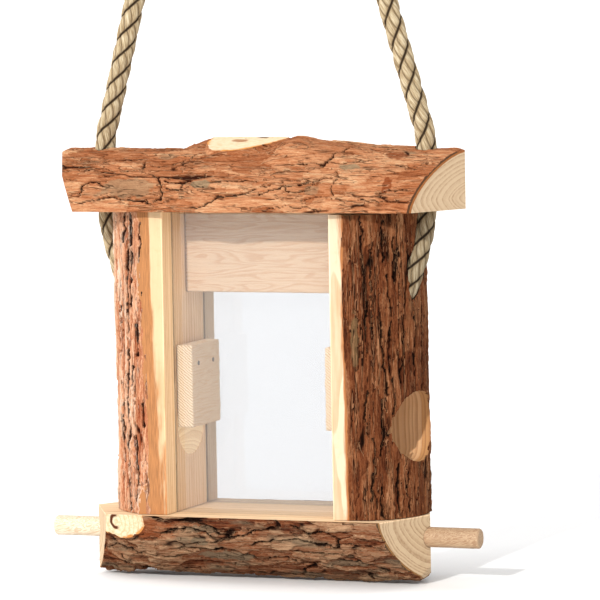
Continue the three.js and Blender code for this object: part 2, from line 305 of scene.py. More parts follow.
class Shader:
    """A new node material and short ways to add its nodes; a colour is a Signal or what linear() takes."""

    def __init__(self, name):
        self.material = bpy.data.materials.new(name)
        self.material.use_nodes = True
        self.tree = self.material.node_tree
        self.shader = next(n for n in self.tree.nodes if n.type == "BSDF_PRINCIPLED")
        self.output = next(n for n in self.tree.nodes if n.type == "OUTPUT_MATERIAL")

    def add(self, kind, inputs=(), **settings):
        made = self.tree.nodes.new(kind)
        for key, value in settings.items():
            setattr(made, key, value)
        for socket, value in dict(inputs).items():
            self.link(value, made.inputs[socket])
        return made

    def node(self, kind, inputs=(), output=0, **settings):
        return Signal(self, self.add(kind, inputs, **settings).outputs[output])

    def link(self, value, socket):
        if isinstance(value, Signal):
            self.tree.links.new(value.socket, socket)
        elif value is not None:
            socket.default_value = value

    def attribute(self, name):
        return self.node("ShaderNodeAttribute", output=2, attribute_name=name)

    def place(self, name="log"):
        """A stored place, in millimetres, for patterns to follow."""
        return self.node("ShaderNodeAttribute", output=1, attribute_name=name)

    def axes(self, vector):
        return [Signal(self, socket) for socket in self.add("ShaderNodeSeparateXYZ", {0: vector}).outputs]

    def vector(self, operation, a, b=None, output=0):
        return self.node("ShaderNodeVectorMath", {0: a, 1: b}, output, operation=operation)

    def dimmed(self, colour, share):
        return self.vector("MULTIPLY", colour, (share, share, share))

    def noise(self, vector, scale, detail=3.0, roughness=0.55, distortion=0.0):
        inputs = {"Vector": self.vector("MULTIPLY", vector, scale), "Scale": 1.0, "Detail": detail}
        return self.node("ShaderNodeTexNoise", {**inputs, "Roughness": roughness, "Distortion": distortion})

    def remap(self, value, low, high, to_low=0.0, to_high=1.0):
        inputs = {0: value, 1: low, 2: high, 3: to_low, 4: to_high}
        return self.node("ShaderNodeMapRange", inputs, interpolation_type="SMOOTHSTEP")

    def mix(self, share, a, b):
        a, b = (colour if isinstance(colour, Signal) else linear(colour) for colour in (a, b))
        return self.node("ShaderNodeMix", {0: share, 6: a, 7: b}, output=2, data_type="RGBA")

    def ramp(self, value, colours):
        made = self.add("ShaderNodeValToRGB", {0: value})
        elements = made.color_ramp.elements
        while len(elements) < len(colours):
            elements.new(0.5)
        for i, colour in enumerate(colours):
            elements[i].position, elements[i].color = i / (len(colours) - 1), linear(colour)
        return Signal(self, made.outputs[0])

    def finish(self, colour, roughness, relief=None, depth=0.0, strength=1.0, specular=None, metallic=None):
        """Sets the main shader, with a bump some millimetres deep, and gives the material."""
        inputs = self.shader.inputs
        if relief:
            bump = {"Height": relief, "Distance": depth * MM, "Strength": strength}
            self.link(self.node("ShaderNodeBump", bump), inputs["Normal"])
        self.link(colour, inputs["Base Color"])
        self.link(roughness, inputs["Roughness"])
        self.link(specular, inputs["Specular IOR Level"])
        self.link(metallic, inputs["Metallic"])
        return self.material


def dim(colour, share):
    return [value * share for value in colour]


def stripes(s, phase, rise, crest, fall):
    """Growth rings at each whole number: slow to darken, and quick to turn pale again."""
    tooth = phase.math("FRACT")
    return s.remap(tooth, rise, crest) * s.remap(tooth, 1.0, fall)


def grained(s, late, share, fine, pale, line):
    """Planed wood's colour, from its late wood and its fine pores."""
    return s.mix(s.remap(fine, 0.35, 0.8, 0.0, 0.4), s.mix(late * share, pale, line), line)


# ---- rope ----
ROPE_LAY, YARN_TURNS = 47.4, 0.42  # length of one turn of a strand, and the yarns' turns in it
STRANDS, YARNS_AROUND = 3, 7
ROPE_END_HEIGHTS = (212, 203, 194, 184, 174, 164, 154, 144.5, 135.5, 127.5, 120)
ROPE_ENDS = {  # on each side, outward from the roof's hole and along Y, at those heights
    -1: ((0, 0, -0.4, -1.4, -3.2, -5.8, -9, -12.8, -16.8, -20.6, -24.5), (0,) * 11),
    1: (
        (0, 0, -0.1, -0.8, -2, -3.9, -6.4, -9.6, -13.4, -17.6, -22),
        (0, 0, -0.2, -1.5, -3.6, -6, -8.2, -10, -11.2, -11.8, -12),
    ),
}
LOOP_X, LOOP_RADIUS, LOOP_SLOPE = -8.0, 27.0, 0.266


def lower_route(side):
    hole_x = ROPE_HOLES[0] if side < 0 else ROPE_HOLES[1]
    return [(hole_x + side * out, y, height) for out, y, height in zip(*ROPE_ENDS[side], ROPE_END_HEIGHTS)]


def upper_route():
    lean = math.atan(LOOP_SLOPE)
    rise = sum(abs(x - LOOP_X) / LOOP_SLOPE for x in ROPE_HOLES)
    centre = ROOF_TOP + rise / 2 - LOOP_RADIUS / math.sin(lean)

    def leg(hole_x):
        side = math.copysign(1, hole_x)
        touch = (LOOP_X + side * LOOP_RADIUS * math.cos(lean), centre + LOOP_RADIUS * math.sin(lean))
        start = (hole_x - side * 3, ROOF_TOP + 17)
        foot = [(hole_x + side * out, 0, z) for out, z in ((0, 212.3), (0.1, 222), (0.1, 231), (-0.9, 240))]
        run, rise = touch[0] - start[0], touch[1] - start[1]
        return foot + [(start[0] + run * t, 0, start[1] + rise * t) for t in (0, 0.2, 0.4, 0.6, 0.8, 1)]

    arc = []
    for i in range(1, 8):
        angle = math.pi - lean - (math.pi - 2 * lean) * i / 8
        arc.append((LOOP_X + LOOP_RADIUS * math.cos(angle), 0, centre + LOOP_RADIUS * math.sin(angle)))
    return leg(ROPE_HOLES[0]) + arc + leg(ROPE_HOLES[1])[::-1]


def smooth_path(route, step):
    """The centripetal curve through the route's points, with even steps along it."""
    points = np.array(route, float)
    points = np.vstack([2 * points[0] - points[1], points, 2 * points[-1] - points[-2]])
    fine = []
    for a, b, c, d in zip(points, points[1:], points[2:], points[3:]):
        gaps = [math.sqrt(np.linalg.norm(q - p)) for p, q in ((a, b), (b, c), (c, d))]
        leave = ((b - a) / gaps[0] - (c - a) / (gaps[0] + gaps[1]) + (c - b) / gaps[1]) * gaps[1]
        arrive = ((c - b) / gaps[1] - (d - b) / (gaps[1] + gaps[2]) + (d - c) / gaps[2]) * gaps[1]
        t = np.linspace(0, 1, 40, endpoint=False)[:, None]
        curve = (2 * t**3 - 3 * t**2 + 1) * b + (t**3 - 2 * t**2 + t) * leave
        fine.append(curve + (-2 * t**3 + 3 * t**2) * c + (t**3 - t**2) * arrive)
    fine = np.vstack(fine + [points[-2][None]])
    length = np.concatenate([[0], np.cumsum(np.linalg.norm(np.diff(fine, axis=0), axis=1))])
    even = np.linspace(0, length[-1], int(length[-1] / step) + 1)
    return np.stack([np.interp(even, length, fine[:, i]) for i in range(3)], axis=1), even


def laid_rope(name, route, start_turn, seed):
    """A three-strand rope: strands wind one way, and the yarns in each of them the other way."""
    path, along = smooth_path(route, 0.75)
    around = 72
    angle = np.linspace(0, 2 * np.pi, around, endpoint=False)
    turn, length = np.meshgrid(angle, along)
    strands = STRANDS * (length / ROPE_LAY - turn / (2 * np.pi) + start_turn)
    strand = np.floor(strands)
    inside = 2 * np.abs(strands - strand - 0.5)  # 0 on a strand's crown, 1 in the groove
    offset = np.choose(strand.astype(int) % STRANDS, [0.0, 0.4, 0.73])
    bow = 0.20 * (1 - 4 * (strands - strand - 0.5) ** 2)
    yarns = YARNS_AROUND * (turn / (2 * np.pi) + YARN_TURNS * length / ROPE_LAY) + offset - bow
    yarn = np.abs(2 * (yarns - np.floor(yarns)) - 1)
    groove = smoothstep(0.66, 0.97, inside)
    crease = smoothstep(0.68, 1.0, yarn)
    belly = np.sqrt(np.clip(1 - 0.93 * inside**2.4, 0, 1))
    lump = np.sqrt(np.clip(1 - 0.92 * yarn**2.2, 0, 1))
    places = np.stack([6 * np.cos(turn), 6 * np.sin(turn), length], axis=-1)
    rough = 0.10 * smooth_noise(places / 3.1, seed) + 0.07 * smooth_noise(places / 1.1, seed + 1)
    radius = ROPE_RADIUS * (0.58 + 0.26 * belly + 0.19 * lump) + rough
    obj = new_object(name, *capped_tube(tube_rings(path, radius, around)))
    lean = turn + YARN_TURNS * 2 * np.pi * length / ROPE_LAY
    fibre = np.stack([6 * np.cos(lean), 6 * np.sin(lean), length], axis=-1).reshape(-1, 3)
    ends = np.array([[0, 0, 0.0], [0, 0, along[-1]]])
    store(obj, "fibre", np.vstack([fibre, ends]))
    # Masks for the painted shade in the grooves and creases, and off the crowns.
    store(obj, "groove", np.append(np.maximum(groove, 0.8 * crease).ravel(), [1, 1]))
    store(obj, "crown", np.append((belly * lump).ravel(), [0, 0]))
    place_in_frame(obj)
    middle = path[::6] if (len(path) - 1) % 6 == 0 else np.vstack([path[::6], path[-1:]])
    return obj, to_frame(middle), along[-1] * MM


def rope_material(name, keep=1.0):
    """Flax yarns; the share kept of their brightness is lower on the right rope end, as painted shade."""
    s = Shader(name)
    fibre = s.place("fibre")
    strands = s.noise(fibre, (2.6, 2.6, 0.16), 3.0, 0.6)
    broad = s.noise(fibre, (0.16, 0.16, 0.06), 2.0)
    base = s.ramp(s.remap(strands, 0.30, 0.70), [(146, 122, 88), (200, 178, 142), (236, 222, 192)])
    base = s.mix(s.remap(broad, 0.35, 0.7, 0.0, 0.35), base, (178, 156, 120))
    # Painted shade: darker off each yarn's crown, and near black in the grooves between strands and the creases
    # between yarns.
    base = s.mix(s.remap(s.attribute("crown"), 0.95, 0.55, 0.0, 0.55), base, (146, 118, 82))
    base = s.mix(s.remap(s.attribute("groove"), 0.25, 0.95, 0.0, 0.96), base, (44, 30, 18))
    return s.finish(s.dimmed(base, keep), 0.85, strands, 0.45, 0.8, specular=0.12)


# A darker copy of the rope's look: painted shade for the right end, which hangs in shade.
rope_look, painted_shade_rope_look = rope_material("rope_fibre"), rope_material("rope_fibre_painted_shade", 0.66)
ropes = {}
for rope_name, rope_node, rope_route, start_turn, rope_seed in (
    ("rope_over_roof", "rope_upper", upper_route(), 0.18, 11),
    ("rope_end_left", "rope_lower_left", lower_route(-1), 0.55, 12),
    ("rope_end_right", "rope_lower_right", lower_route(1), 0.30, 13),
):
    rope, rope_path, rope_length = laid_rope(rope_name, rope_route, start_turn, rope_seed)
    # the right end gets the painted shade copy
    rope.data.materials.append(painted_shade_rope_look if rope_name == "rope_end_right" else rope_look)
    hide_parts(rope_node)
    tuple(rope_path[0])
    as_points(rope_path)
    ropes[rope_node] = rope


def height_at(z):
    return tuple(to_frame((0, 0, z)))


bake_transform(ropes["rope_upper"], "roof", "feeder", start=height_at(262), end=height_at(520))
for rope_node in ("rope_lower_left", "rope_lower_right"):
    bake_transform(ropes[rope_node], "feeder", "roof", start=height_at(150), end=height_at(229))


# ---- logs ----
def slab_section(half_depth, thickness, flat):
    """Radius at each angle of a slab's bark, which is a little more pointed than a round."""
    rise = np.sin(np.linspace(0, np.pi / 2, 200))
    across = half_depth * (1 - rise**1.5) ** 0.7
    across, up = np.append(half_depth, across), np.append(flat - 9, flat + rise * thickness)
    angle, size = np.arctan2(up, across), np.hypot(across, up)

    def radius(turn):
        folded = np.where(turn > np.pi / 2, np.pi - turn, turn)
        folded = np.where(turn > 3 * np.pi / 2, turn - 2 * np.pi, folded)
        return np.interp(folded, angle, size)

    return radius


def lines_in(noise, width):
    """Thin winding lines, where the noise passes through nought."""
    return 1 - smoothstep(0.0, width, np.abs(noise))


def round_bark_arc(section, front):
    """How far round the bark each angle is from the sawn edge on the front."""
    turn = np.linspace(front, 2.4, 300)
    size = section(turn)
    steps = np.hypot(np.diff(size * np.cos(turn)), np.diff(size * np.sin(turn)))
    arc = np.concatenate([[0], np.cumsum(steps)])
    return lambda at: np.interp(at, turn, arc, left=-30.0, right=999.0)


def crack_depth(length, arc, cracks, seed):
    """Cracks that wander between given places: 1 in the middle of each, 0 away from them.

    A crack is its half width, its strength, and the places it passes: along the log, then round it.
    """
    places = np.stack([length, arc, np.zeros_like(arc)], axis=-1)
    x = length + 1.1 * smooth_noise(places / 4.0, seed + 60) + 0.5 * smooth_noise(places / 1.5, seed + 62)
    y = arc + 1.1 * smooth_noise(places / 4.0, seed + 61) + 0.5 * smooth_noise(places / 1.5, seed + 63)
    total = np.zeros_like(x)
    uneven = 1 + 0.4 * smooth_noise(places / 5.0, seed + 64)
    for width, strength, *line in cracks:
        width = width * uneven
        for ax, ay, bx, by in zip(line[::2], line[1::2], line[2::2], line[3::2]):
            dx, dy = bx - ax, by - ay
            run = np.clip(((x - ax) * dx + (y - ay) * dy) / (dx**2 + dy**2), 0, 1)
            away = np.hypot(x - ax - run * dx, y - ay - run * dy)
            total = np.maximum(total, strength * (1 - smoothstep(0.35, 1.0, away / width)))
    return total


class Log:
    """A log with bark. Its own frame has X along the log and Z through the middle of the bark side."""

    def __init__(self, name, centre, along, up, radius, reach, flat, style):
        self.radius, self.style = radius, style
        along, up = np.array(along, float), np.array(up, float)
        self.turn = np.stack([along, np.cross(up, along), up], axis=1)
        self.centre = np.array(centre, float)
        middle = float(radius(np.array(np.pi / 2)))
        low = math.asin(flat / middle) - math.radians(7)
        fine = np.linspace(low, math.pi - low, int(middle * (math.pi - 2 * low) / LOG_STEP))
        coarse = np.linspace(math.pi - low, 2 * math.pi + low, 14)[1:-1]
        angle = np.concatenate([fine, coarse])
        lengths = np.linspace(*reach, int((reach[1] - reach[0]) / LOG_STEP))
        turn, length = np.meshgrid(angle, lengths)
        radial = self.radius(turn) + self.relief(length, turn)[0]
        rings = np.stack([length, radial * np.cos(turn), radial * np.sin(turn)], axis=-1)
        points, faces = capped_tube(rings)
        self.obj = new_object(name, points @ self.turn.T + self.centre, faces, BARK)

    def relief(self, length, turn):
        """Bark height in millimetres, darkness (the bark's own darker furrows with painted shade in furrows,
        cracks and plate borders, and painted light on ridges), each flake's tone, height without cracks, and
        stain.
        """
        style, seed, size = self.style, self.style["seed"], self.style["size"]
        place = np.stack([length, size * np.cos(turn), size * np.sin(turn)], axis=-1)
        if "slant" in style:
            place = style["slant"](place)

        def rough(at, along, across, offset):
            return smooth_noise(at / (along, across, across), seed + offset)

        wander = rough(place, 30, 14, 0) * style["wander"]
        wander += rough(place, 11, 5, 1) * style["wander"] * 0.4
        wander += rough(place, 3.5, 2, 40) * 0.5
        bent = place + np.stack([wander * 2.0, wander, -wander], axis=-1)
        long, wide = style["flake"]
        inside, tone = cells(bent / (long, wide, wide), seed + 2)
        _, small_tone = cells(bent / (long * 0.4, wide * 0.4, wide * 0.4), seed + 20)
        border = 1 - smoothstep(0.0, 0.10, inside)
        open_here = smoothstep(-0.25, 0.35, rough(place, 26, 11, 6))
        long, wide = style["furrow_pitch"]
        furrow = lines_in(rough(bent, long, wide, 3), style["furrow_width"])
        furrow = furrow * np.clip(open_here + style["open"], 0, 1)
        crack = lines_in(rough(bent, long * 0.45, wide * 0.5, 4), 0.14)
        crack = crack * (1 - 0.6 * open_here)
        ridge = 1 - np.abs(rough(bent, 16, 2.0, 8))
        ridge = 0.6 * ridge + 0.4 * (1 - np.abs(rough(bent, 6, 1.1, 9)))
        height = plain = (
            style["swell"] * rough(place, 48, 22, 5)
            + style["step"] * (tone - 0.5)
            + style["step"] * 0.45 * (small_tone - 0.5)
            - style["furrow"] * furrow
            - style["crack"] * crack
            - style["border"] * border * open_here
            + style["ridge"] * (ridge - 0.7)
        )
        # Darkness: the furrows' own colour with painted shade in furrows, cracks and plate borders, and lighter
        # on ridges as painted light.
        dark = furrow + 0.55 * crack + style["border"] * 0.8 * border * open_here + 0.8 * (0.5 - ridge)
        facing = turn if style["side"] > 0 else np.pi - turn
        arc = round_bark_arc(self.radius, style["front"])(facing)
        deep = crack_depth(length, arc, style["cracks"], seed)
        height = height - style.get("crack_height", 1.6) * deep
        dark = np.maximum(dark * (1 - 0.4 * deep), 1.25 * deep)
        if "ease" in style:
            share, more = style["ease"](turn)
            height = height * (0.12 + 0.88 * share) + more
            dark = dark * (0.35 + 0.65 * share)
        if "extra" in style:
            height = height + style["extra"](length, turn)
        stain = np.zeros_like(height)
        blur = 0.25 * smooth_noise(place / 2.5, seed + 70)
        for x, y, long, wide, kind in style.get("stains", ()):
            far = np.hypot((length - x) / long, (arc - y) / wide) + blur
            stain = np.where(far < 1.3, kind * (1 - smoothstep(0.75, 1.1, far)), stain)
        return height, np.clip(dark, 0, 1), 0.65 * tone + 0.35 * small_tone, plain, stain

    def finish(self, cutters, materials, slot, node, body):
        cut_away(self.obj, cutters)
        own = (points_of(self.obj) - self.centre) @ self.turn
        _, dark, tone, height, stain = self.relief(own[:, 0], np.arctan2(own[:, 2], own[:, 1]))
        for name, values in dict(log=own, height=height, stain=stain, dark=dark, tone=tone).items():
            store(self.obj, name, values)
        data = self.obj.data
        kinds = np.zeros(len(data.polygons), np.int32)
        data.polygons.foreach_get("material_index", kinds)
        data.polygons.foreach_set("use_smooth", kinds == BARK)
        data.materials.clear()
        for material in materials:
            data.materials.append(material)
        data.polygons.foreach_set("material_index", kinds)
        place_in_frame(self.obj)
        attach(self.obj, body)
        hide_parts(node)


# Hairlines in the bark: scale along and across, half width, strength, and how rare they are.
LONG_CRACKS = (((0.012, 0.20, 0.20), 0.013, 0.9, 0.40), ((0.035, 0.50, 0.50), 0.026, 0.75, 0.48))
FEW_CRACKS = (((0.02, 0.12, 0.12), 0.010, 0.6, 0.40), ((0.05, 0.30, 0.30), 0.020, 0.5, 0.48))


def bark_material(name, colours, furrow, patch, seed, cracks, pitting, patches=0.0, knot=(140, 62, 24)):
    """Bark: each plate has its own tone; ridges and crack edges are painted lighter as painted highlights, and
    furrows, cracks and pits are dark, their own colour with painted shade.
    """
    s = Shader(name)
    moved = s.vector("ADD", s.place(), (seed * 13.7, seed * 5.1, seed * 9.3))
    dark, tone, height, stain = (s.attribute(stored) for stored in ("dark", "tone", "height", "stain"))
    streaks = s.noise(moved, (0.09, 1.0, 1.0), 5.0, 0.66, 0.6)
    flecks = s.noise(moved, (0.7, 1.9, 1.9), 4.0, 0.75)
    clouds = s.noise(moved, (0.03, 0.07, 0.07), 3.0)
    value = streaks * 0.62 + tone * 0.16 + flecks * 0.32 + height * 0.06
    base = s.ramp(s.remap(value, 0.30, 0.82), colours)
    lichen = s.mix(s.remap(flecks, 0.3, 0.7), patch, dim(patch, 0.72))
    base = s.mix(s.remap(clouds, 0.60 - patches, 0.78 - patches, 0.0, 0.75), base, lichen)
    pits = s.remap(s.noise(moved, (0.32, 1.0, 1.0), 3.0, 0.7, 0.5), 0.62, 0.72)
    base = s.mix(s.remap(stain, 0.1, 0.9, 0.0, 0.85), base, lichen)
    base = s.mix(s.remap(stain, -0.1, -0.9, 0.0, 0.8), base, knot)
    # Painted shade with the furrows' own darker colour, in furrows, cracks, plate borders and pits.
    shade = s.remap(dark, 0.12, 0.95, 0.0, 0.97).math("MAXIMUM", pits * pitting)
    base = s.mix(shade, base, furrow)
    relief = streaks * 0.8 + flecks * 0.6 - pits * 0.5
    for scale, width, strength, rarity in cracks:
        away = s.noise(s.vector("ADD", moved, (0, width * 400, 0)), scale, 3.0, 0.5, 0.9) - 0.5
        here = s.remap(s.noise(moved, dim(scale, 0.6), 2.0), rarity, rarity + 0.08)
        # A painted highlight along each crack's edges; the crack line itself is its own dark colour with
        # painted shade.
        edge = s.remap(away, width * 0.7, width * 1.3) * s.remap(away, width * 3.2, width * 1.8)
        base = s.mix(edge * here * (strength * 0.5), base, colours[-1])
        line = s.remap(abs(away), width, width * 0.35) * here * strength
        base = s.mix(line, base, dim(furrow, 0.8))
        relief = relief - line
    return s.finish(base, 0.92, relief, 1.5, 0.9, specular=0.06)


def round_share(radius, pith):
    """How far out a place lies between the pith and the bark of a round log, from 0 to 1."""
    vy, vz = -pith[0], -pith[1]  # from the pith to the middle of the log
    room = radius**2 - vy**2 - vz**2

    def share(y, z):
        qy, qz = y - pith[0], z - pith[1]
        dot = qy * vy + qz * vz
        return ((dot * dot + (qy * qy + qz * qz) * room).math("SQRT") - dot) / room

    return share


def slab_share(half_depth, thickness, flat, pith=0.0):
    """The same for a slab, whose rings follow the outline of its bark."""

    def share(y, z):
        up = abs((z - (flat + pith)) / (thickness - pith))
        return (up**1.5 + (abs(y) / half_depth) ** 1.43) ** 0.685

    return share


def cut_wood_material(
    name, share_of, outline_of, radius, rings, pale, line, bark_layer, seed,
    rim, outer, thicker=0.0, skin=0.5, flat=None, flat_painted_light=1.33, port=None,
):
    """Freshly sawn log: growth rings round the pith, a cambium line under the bark, then bark."""
    s = Shader(name)
    log = s.place()
    x, y, z = s.axes(log)
    wander = s.noise(s.vector("ADD", log, (seed * 31.0, 0, 0)), (0.012, 0.05, 0.05), 2.0)
    share = share_of(y + (wander - 0.5) * 5.0, z)
    one_way = s.node("ShaderNodeCombineXYZ", {0: share, 1: seed * 3.3})
    uneven = s.noise(one_way, (7.0, 1.0, 1.0), 2.0)
    late = stripes(s, share * float(rings) + uneven * 3.0, 0.25, 0.94, 0.96)
    fine = s.noise(log, (0.10, 2.2, 2.2), 3.0, 0.65)
    grain = s.noise(log, (0.03, 0.5, 0.5), 3.0)
    base = s.mix(late * s.remap(grain, 0.3, 0.75, 0.4, 1.0), pale, line)
    base = s.mix(s.remap(fine, 0.35, 0.8, 0.0, 0.30), base, dim(pale, 0.86))
    base = s.mix(s.remap(s.noise(log, (0.25, 0.25, 0.25), 4.0), 0.5, 0.8, 0.0, 0.22), base, line)
    ragged = s.noise(log, (0.05, 0.4, 0.4), 3.0)
    depth = outline_of(y, z) * radius + (ragged - 0.5) * 0.7 + s.remap(z, 14.0, 34.0, 0.0, thicker)
    layer = s.mix(s.remap(fine, 0.3, 0.7), bark_layer, dim(bark_layer, 0.78))
    base = s.mix(s.remap(depth, radius - rim, radius - rim + 0.3), base, layer)
    base = s.mix(s.remap(depth, radius - outer, radius - outer + 0.3), base, dim(bark_layer, skin))
    if flat is not None:  # the flat face is painted lighter than the ends, as painted light
        base = s.mix(s.remap(z, flat + 1.0, flat + 0.3), base, s.dimmed(base, flat_painted_light))
    if port:  # the port's wall is painted: pale as painted light on the left post, tan as painted shade on the right, more so from one depth to another
        start, full, port_painted_colour, port_painted_line = port
        beside = s.remap(abs(y), PORT_RIM, PORT_RIM - 3)
        level = s.remap(abs(x - PORT_HEIGHT), PORT_RIM, PORT_RIM - 3)
        # Mask of the painted light and shade on the port's wall.
        worn = beside * level * s.remap(z, start, full, 0.0, 0.75)
        base = s.mix(worn, base, s.mix(late, port_painted_colour, port_painted_line))
    return s.finish(base, 0.72, fine * 0.6 + (1.0 - late) * 0.4, 0.25, 0.6, specular=0.3)


# ---- roof ----
ROOF_FLAT, BASE_FLAT = 14.5, 7.6  # from the middle of each section to its flat face
ROOF_CENTRE = ROOF_UNDERSIDE - ROOF_FLAT
BRANCH_LEFT, BRANCH_BEND, BRANCH_TIP = -42.0, -24.0, 16.5  # its cut face, along the log
BRANCH_FRONT, BRANCH_REAR = -14.0, 6.0


def branch_front(length):
    """The front edge of the old branch's cut face: rounded on the left, narrowing to the right."""
    right = np.clip((length - BRANCH_BEND) / (BRANCH_TIP - BRANCH_BEND), 0, None)
    left = np.clip((BRANCH_BEND - length) / (BRANCH_BEND - BRANCH_LEFT), 0, 1)
    return BRANCH_FRONT + (BRANCH_REAR - BRANCH_FRONT) * (right**1.6 + 1 - np.sqrt(1 - left**2))


def branch_plane(across):
    """The height of the old branch's cut face, which slopes towards the front."""
    return 58.6 + 0.42 * (across - 5)


def bump_at(length, middle, width):
    return np.exp(-(((length - middle) / width) ** 2))


def roof_humps(length, turn):
    """The swelling round the old branch on top, and the roof's rounded left and right corners."""
    radius = roof_section(turn)
    across, up = radius * np.cos(turn), radius * np.sin(turn)
    inside = np.minimum(0.45 * (length - BRANCH_LEFT), 2.2 * (BRANCH_REAR - across))
    inside = np.minimum(inside, 0.5 * (across - branch_front(length)))
    plane = branch_plane(across) - up
    knuckle = 6.2 * bump_at(length, 20, 15) + 3.4 * bump_at(length, 46, 26) + bump_at(length, 90, 20)
    knuckle = knuckle * smoothstep(27, 12, np.abs(across))
    rise = np.maximum(np.minimum(knuckle, plane - inside), plane + np.minimum(inside, 1.5))
    corner = 3.4 * np.clip(1 - (length - ROOF_TIPS[0]) / 8, 0, 1) ** 2
    corner = corner + 2.0 * np.clip(1 - (ROOF_TIPS[1] - length) / 7, 0, 1) ** 2
    return (np.maximum(rise, 0) - corner * smoothstep(0.75, 1.0, np.sin(turn))) * (np.sin(turn) > 0)


roof_style = dict(
    seed=3, size=50, flake=(42, 10), furrow_pitch=(64, 13), furrow_width=0.07, open=0.0, wander=3.4,
    furrow=0.7, crack=0.25, border=0.4, swell=0.7, step=1.0, ridge=0.8, extra=roof_humps,
    side=-1, front=0.279,
    cracks=(
        (0.8, 0.9, -110, 12, -110, 17, -106, 23, -101, 22, -97, 19),
        (0.6, 0.8, -138, 32, -104, 36, -88, 33, -75, 33, -74, 39, -75, 45),
        (0.6, 0.7, -130, 43, -100, 45, -80, 47, -60, 50),
        (0.7, 0.8, -110, 6, -86, 10, -70, 8, -60, 6, -55, 9, -55, 17, -60, 26, -66, 30, -74, 32),
        (0.9, 1.0, -55, 23, -44, 22, -37, 23), (0.9, 1.0, -24, 22, -16, 23, -6, 24, 6, 23),
        (0.6, 0.8, -54, 18, -44, 16, -38, 18), (0.6, 0.8, -64, 38, -54, 42, -47, 48, -41, 55),
        (0.5, 0.7, -54, 36, -47, 44, -38, 48),
        (0.8, 0.9, -32, 3, -25, 4, -20, 6, -16, 10, -8, 12, 2, 13, 9, 17, 18, 20),
        (0.5, 0.7, 4, 29, 14, 32, 26, 34), (0.7, 0.9, 12, 12, 24, 18, 36, 21, 48, 25, 56, 27),
        (1.1, 1.0, 46, 38, 50, 44, 54, 50, 60, 57), (0.7, 0.9, 26, 40, 48, 40, 64, 41, 74, 43, 84, 46),
        (0.7, 0.8, 66, 56, 78, 58, 92, 57, 110, 55), (0.5, 0.7, 39, 9, 52, 12, 69, 8, 88, 9, 105, 8),
        (0.5, 0.7, 16, 2, 30, 5, 40, 4, 54, 2), (0.5, 0.7, 92, 40, 100, 38, 111, 39, 118, 42),
        (0.5, 0.7, 88, 14, 99, 17, 108, 16), (0.5, 0.8, 24, 24, 30, 14, 40, 15, 46, 22, 38, 26, 26, 25),
        (0.5, 0.7, 56, 34, 60, 26, 57, 18, 63, 12),
    ),
    stains=(  # along, round, half length, half width, and lichen above or knot wood below nought
        (-30, 21, 7, 3.4, 1.0), (-78, 18, 21, 9, 0.55), (92, 49, 8, 5, -0.8), (94, 21, 3.5, 7, -1.0),
        (-129, 6, 8, 6, -0.5), (66, 37, 9, 3, 0.8), (-62, 50, 7, 4, 0.5), (45, 16, 6, 4, 0.5),
    ),
)
roof_section = slab_section(50.6, 38.2, ROOF_FLAT)
roof = Log(
    "roof_slab", (0, 0, ROOF_CENTRE), (1, 0, 0), (0, 0, 1), roof_section, (-150, 138), ROOF_FLAT, roof_style
)
along_stub = np.linspace(BRANCH_LEFT - 0.6, BRANCH_TIP + 0.5, 24)
stub_outline = [(x, float(branch_front(x)) - 0.6) for x in along_stub] + [(x, 30.0) for x in along_stub[::-1]]
roof_cutters = [
    beyond((0, 0, ROOF_UNDERSIDE), (0, 0, -1)),
    *facets(ROOF_TIPS[0], -120, -120, 51),
    beyond((ROOF_TIPS[0], 0, 217.5), (-20.5, -7.94, -7.24)),
    *facets(ROOF_TIPS[1], 110.5, 112.5, 51),
    *(bore_cutter([(x, 0, z) for z in (180, 200, 240, 250)], ROPE_BORE) for x in ROPE_HOLES),
    prism_cutter(
        [(x, y, ROOF_CENTRE + branch_plane(y)) for x, y in stub_outline],
        [(x, y, 290.0) for x, y in stub_outline],
    ),
]


def branch_material():
    """The old branch, cut off smooth, with a small brown heart and a tan rim."""
    s = Shader("branch_sawn")
    log = s.place()
    x, y, _ = s.axes(log)
    ragged = s.noise(log, (0.14, 0.35, 0.1), 4.0) - 0.5
    run = ((x - BRANCH_BEND) / (BRANCH_TIP - BRANCH_BEND)).math("MAXIMUM", 0.0)
    room = y - (run**1.6 * (BRANCH_REAR - BRANCH_FRONT) + BRANCH_FRONT)
    room = room.math("MINIMUM", (x - BRANCH_LEFT) * 0.8) + ragged * 5.0
    heart = s.vector("MULTIPLY", s.vector("ADD", log, (19.5, -1.0, 0.0)), (0.15, 0.4, 0))
    heart = s.vector("LENGTH", heart, output=1) + ragged * 1.6
    fine = s.noise(log, (0.25, 1.2, 0.5), 4.0, 0.65)
    base = s.mix(s.remap(fine, 0.35, 0.75), (244, 222, 188), (226, 190, 148))
    base = s.mix(s.remap(room, 3.2, 1.6), base, (228, 150, 70))
    base = s.mix(s.remap(room, 0.9, 0.3), base, (140, 74, 38))
    base = s.mix(s.remap(heart, 1.0, 0.5, 0.0, 0.85), base, (166, 112, 70))
    return s.finish(base, 0.75, fine, 0.3, 0.6, specular=0.15)


salmon = [(138, 72, 39), (180, 109, 68), (207, 138, 95), (223, 162, 117), (248, 202, 156)]
roof_bark = bark_material("roof_bark", salmon, (50, 16, 4), (186, 160, 124), 3, FEW_CRACKS, 0.16)
roof_wood = cut_wood_material(
    "roof_sawn", slab_share(50.6, 38.2, ROOF_FLAT, 7.0), slab_share(50.6, 38.2, ROOF_FLAT),
    44.0, 11, (224, 194, 158), (182, 146, 108), (186, 112, 50), 3, rim=3.6, outer=2.0,
)
roof.finish(roof_cutters, [roof_bark, roof_wood, branch_material()], "roof_bark", "roof_log", "roof")


# ---- base ----
def slant_at_left(place):
    """Furrows climb towards the knot at the left end."""
    place = place.copy()
    pull = smoothstep(-45, -115, place[..., 0])
    place[..., 2] = place[..., 2] - pull * (place[..., 0] + 60) * 0.55
    return place


